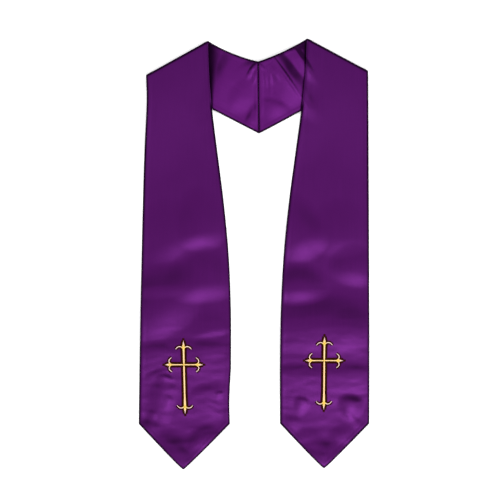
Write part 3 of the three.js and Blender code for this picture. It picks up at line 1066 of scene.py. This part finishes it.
# %% The sizes of a cross
# joint, reach: how far the arm's joint and its tip are from the crossing. root, neck: half the
# bar's width at the crossing and at the joint. petal: how far the petals reach to each side.
Arm = namedtuple("Arm", "angle joint reach root neck petal")
ARMS = [
    Arm(angle=90, joint=26, reach=36.6, root=1.32, neck=1.8, petal=11.8),
    Arm(angle=-90, joint=64.4, reach=74.8, root=1.32, neck=1.9, petal=11.6),
    Arm(angle=0, joint=21, reach=29, root=0.95, neck=1.5, petal=10.6),
    Arm(angle=180, joint=21, reach=29, root=0.95, neck=1.5, petal=10.6),
]
LEAF = 1.9  # half the width of the leaf
PETAL = 0.76  # half the width of a petal
BORDER = 3.5  # how far the dark edge goes past the gold of a bar or leaf, and
PETAL_BORDER = 0.66 * BORDER  # of a petal


# %% Curves
def bezier(points, t):
    """Points on the curve that a list of control points gives, by halving it down."""
    rows = [np.array(p, dtype=float)[None] for p in points]
    while len(rows) > 1:
        rows = [a + (b - a) * t[:, None] for a, b in zip(rows, rows[1:])]
    return rows[0]


def spaced(curve, pitch):
    """Points a pitch apart along a curve, with the unit vectors across it."""
    steps = np.linalg.norm(np.diff(curve, axis=0), axis=1)
    far = np.concatenate([[0], np.cumsum(steps)])
    wanted = np.linspace(0, far[-1], max(2, round(far[-1] / pitch) + 1))
    points = np.stack([np.interp(wanted, far, curve[:, k]) for k in (0, 1)], axis=-1)
    ahead = np.gradient(points, axis=0)
    ahead /= np.linalg.norm(ahead, axis=1, keepdims=True)
    return points, np.stack([-ahead[:, 1], ahead[:, 0]], axis=-1), wanted / far[-1]


# %% Stitches across a curve
def stitches_across(curve, pitch, half_width, pale, slant=0.0):
    """Stitches that lie side by side straight across a curve: two ends, and the painted light of each."""
    points, sideways, share = spaced(curve, pitch)
    wide = half_width(share)[:, None]
    ahead = np.stack([sideways[:, 1], -sideways[:, 0]], axis=-1) * slant
    return list(zip(points - sideways * wide - ahead, points + sideways * wide + ahead, pale(share)))


# %% The bar and the petals of an arm, drawn along +X from the crossing
def bar_stitches(arm, pitch, border):
    """A straight bar, painted deeper where the bars meet, at the crossing and at the joint, as painted
    shade.
    """
    def half_width(share):
        return arm.root + (arm.neck - arm.root) * ease((share - 0.72) / 0.28) + border

    def pale(share):
        near_crossing = np.exp(-((share * arm.joint / 2.0) ** 2))
        near_joint = np.exp(-(((1 - share) * arm.joint / 2.8) ** 2))
        return 0.70 - 0.52 * near_crossing - 0.62 * near_joint

    return stitches_across(np.array([(0.0, 0.0), (arm.joint, 0.0)]), pitch, half_width, pale)


def petal_stitches(arm, pitch, border, hand):
    """One curled petal, thinner towards its end, with painted shade at its heel and painted highlight
    towards its end.
    """
    curl = [(arm.joint - 2.2, 0.6 * hand), (arm.joint + 2.2, 2.6 * hand),
            (arm.joint + 3.4, 0.68 * arm.petal * hand), (arm.joint - 2.3, arm.petal * hand)]
    curve = bezier(curl, np.linspace(0, 1, 24))
    return stitches_across(curve, pitch, lambda share: PETAL * (1 - 0.4 * share**3) + border,
                           lambda share: 0.15 + 0.85 * ease(2.2 * share), slant=0.3)


# %% The leaf of an arm
def leaf_half_width(arm, x):
    """Half the leaf's width at a distance from the crossing: round at its heel, straight to its tip."""
    long = arm.reach - arm.joint
    heel, belly, taper = arm.joint - 0.3 * long, arm.joint + 0.1 * long, arm.joint + 0.5 * long
    side = bezier([(heel, 0), (belly, 1.6 * LEAF), (taper, 0.62 * LEAF)], np.linspace(0, 1, 12))
    side = np.concatenate([side, [(arm.reach, 0)]])
    return np.interp(x, side[:, 0], side[:, 1], left=0, right=0)


def leaf_stitches(arm, pitch, border):
    """The leaf, worked last, from its middle line outwards and forwards, like a feather."""
    found = []
    long = arm.reach - arm.joint
    heel = arm.joint - 0.3 * long
    for x in np.arange(heel + 0.4 * pitch, arm.reach + border, pitch):
        wide = leaf_half_width(arm, x) + border * (1 if x < arm.reach else 0.5)
        # Painted shade at the joint, painted highlight towards the tip.
        pale = 0.1 + 0.85 * ease((x - arm.joint) / (0.7 * long))
        if border:
            found.append((np.array([x, -wide]), np.array([x, wide]), pale))
        else:
            back = min(0.8 * wide, x - heel)
            for hand in (1, -1):
                found.append((np.array([x - back, -0.12 * hand]), np.array([x, wide * hand]), pale))
    return found


def arm_stitches(arm, pitch, border, petal_border):
    """All the stitches of an arm, in the order in which they are sewn."""
    found = bar_stitches(arm, pitch, border)
    for hand in (1, -1):
        found += petal_stitches(arm, pitch, petal_border, hand)
    return found + leaf_stitches(arm, pitch, border)


# %% The stitches of a cross
# pale: the painted light of a stitch, from painted shade at 0 through the thread's own colour at 0.5 to
# painted highlight at 1.
Stitch = namedtuple("Stitch", "start end rise lift pale")
CROSSINGS = {"left": (-106.8, -168), "right": (106.2, -161.8)}
LEANS = {"left": 1.4, "right": -0.5}  # degrees
OVERLAP = 0.35  # how much higher the level arms are where they pass over the upright ones
OVERLAP_REACH = 2.4


def cross_stitches(side, pitch, border, petal_border, rise, lift):
    """All the stitches of one cross, turned, leant over and moved to their place on a front."""
    stitches = []
    for arm in ARMS:
        turn = math.radians(arm.angle)
        spin = np.array([[math.cos(turn), -math.sin(turn)], [math.sin(turn), math.cos(turn)]])
        level = arm.angle in (0, 180)
        for start, end, pale in arm_stitches(arm, pitch, border, petal_border):
            ends = np.stack([start, end]) @ spin.T
            ends[:, 0] -= math.tan(math.radians(LEANS[side])) * ends[:, 1]
            on_top = OVERLAP * math.exp(-((start[0] / OVERLAP_REACH) ** 2)) if level else 0
            arch = rise * min(1, 0.25 + np.linalg.norm(ends[1] - ends[0]) / 5)
            stitches.append(Stitch(*(ends + CROSSINGS[side]), arch, lift + on_top, pale))
    return stitches


# %% Laying the stitches
def column_of(stitches, field):
    """One field of every stitch, as a column of an array."""
    return np.array([getattr(stitch, field) for stitch in stitches])[:, None]


def lay_stitches(name, side, stitches, radius):
    """Joins a copy of the modelled stitch for every stitch, arched, and set on the front's cloth."""
    start, end, rise, lift, pale = (column_of(stitches, field) for field in Stitch._fields)
    ahead = end - start
    sideways = np.stack([-ahead[..., 1], ahead[..., 0]], axis=-1)
    sideways /= np.linalg.norm(sideways, axis=-1, keepdims=True)
    along, out, up = STITCH_POINTS.T[:, None, :]
    plan = (start + end) / 2 + ahead * along[..., None] + sideways * (out * radius)[..., None]
    arch = rise * np.maximum(0, 1 - (2 * along) ** 2)
    z = face_height(side, plan[..., 0], plan[..., 1]) + lift + arch + up * radius
    count = len(STITCH_POINTS)
    faces = [[i + count * k for i in face] for k in range(len(stitches)) for face in STITCH_FACES]
    piece = new_piece(name, raised(plan, z), faces)
    length = np.linalg.norm(ahead, axis=-1)
    turn = np.broadcast_to(np.arctan2(out, up) / math.tau, plan.shape[:2])
    which = np.broadcast_to(np.arange(len(stitches))[:, None], plan.shape[:2])
    twist = piece.data.attributes.new("twist", "FLOAT_VECTOR", "POINT")
    twist.data.foreach_set("vector", np.stack([along * length, turn, which], axis=-1).ravel())
    # Each stitch is painted paler in its middle and deeper towards its ends: painted highlight and
    # painted shade.
    store(piece, "pale", pale * (1 - 0.5 * (2 * along) ** 2))
    select_only(piece)
    bpy.ops.object.shade_smooth_by_angle(angle=math.radians(65))
    print(name, len(stitches), "stitches,", len(faces), "faces")
    return piece


GOLD_RADIUS = 0.24
DARK_RADIUS = 0.27
EMBROIDERY = {}
for side in SIDES:
    # The dark layer is a brown outline that also stands in as painted shadow round the raised gold.
    dark = cross_stitches(side, pitch=0.5, border=BORDER, petal_border=PETAL_BORDER, rise=0.35, lift=0.22)
    gold = cross_stitches(side, pitch=0.42, border=0, petal_border=0, rise=1.0, lift=0.36)
    EMBROIDERY[side] = {
        "dark": lay_stitches(f"stitched_outline_and_painted_shadow_{side}", side, dark, DARK_RADIUS),
        "gold": lay_stitches(f"stitched_cross_{side}", side, gold, GOLD_RADIUS),
    }

# %% [markdown]
# ## The thread's finish
#
# Rayon embroidery thread is two plies twisted together, glossy and nearly smooth. A slanted wave
# round each thread gives the twist, from a value stored with every stitch, and each stitch has a
# slightly different shade. Each stitch also carries a painted light, from a deep tone of painted
# shade at its ends and where the bars meet to a pale tone of painted highlight in its middle, on
# the petals and towards the tips of the leaves. The thread of the dark edge is the same, with
# less shine.


# %% Threads
TURNS_PER_MM = 1.1
PLIES = 2.0


def make_thread(name, deep, middle, pale, spread, roughness, gloss):
    """A twisted thread in three tones, from deep painted shade to pale painted highlight, that varies by
    the spread between stitches.
    """
    thread, tree, inputs = new_material(name, Roughness=roughness, Specular_IOR_Level=gloss,
                                        Specular_Tint=(1.0, 0.9, 0.76, 1))
    twist = add_node(tree, "Attribute", {"attribute_name": "twist"}).outputs["Vector"]
    parts = add_node(tree, "SeparateXYZ", Vector=twist).outputs
    tone = add_node(tree, "Attribute", {"attribute_name": "pale"}).outputs["Fac"]
    lower = add_node(tree, "MapRange", Value=tone, From_Min=0.0, From_Max=0.5).outputs["Result"]
    upper = add_node(tree, "MapRange", Value=tone, From_Min=0.5, From_Max=1.0).outputs["Result"]
    body = mix_colours(tree, upper, mix_colours(tree, lower, (*deep, 1), (*middle, 1)), (*pale, 1))
    differ = add_node(tree, "TexWhiteNoise", {"noise_dimensions": "1D"}, W=parts["Z"]).outputs["Value"]
    darker = maths(tree, "MULTIPLY", differ, spread)
    tree.links.new(mix_colours(tree, darker, body, (0, 0, 0, 1)), inputs["Base Color"])
    # The phase runs along the thread, and once round it for each ply.
    round_it = maths(tree, "MULTIPLY", parts["Y"], PLIES)
    phase = maths(tree, "MULTIPLY_ADD", parts["X"], TURNS_PER_MM, round_it)
    ply = maths(tree, "SINE", maths(tree, "MULTIPLY", phase, math.tau))
    add_bump(tree, inputs, strength=0.35, distance=0.05 * MM, height=ply)
    return thread


# deep and pale are painted shade and painted highlight on each thread's own middle colour.
THREADS = {
    "gold": make_thread("gold thread", deep=(0.72, 0.52, 0.03), middle=(1.0, 0.69, 0.22),
                        pale=(1.0, 0.75, 0.80), spread=0.12, roughness=0.34, gloss=1.0),
    "dark": make_thread("dark brown thread and painted shadow", deep=(0.022, 0.002, 0.001), middle=(0.034, 0.004, 0.001),
                        pale=(0.042, 0.006, 0.001), spread=0.3, roughness=0.85, gloss=0.05),
}
for side, layers in EMBROIDERY.items():
    for colour, piece in layers.items():
        piece.data.materials.append(THREADS[colour])
        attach(piece, "root")
        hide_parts(f"cross_{side}")
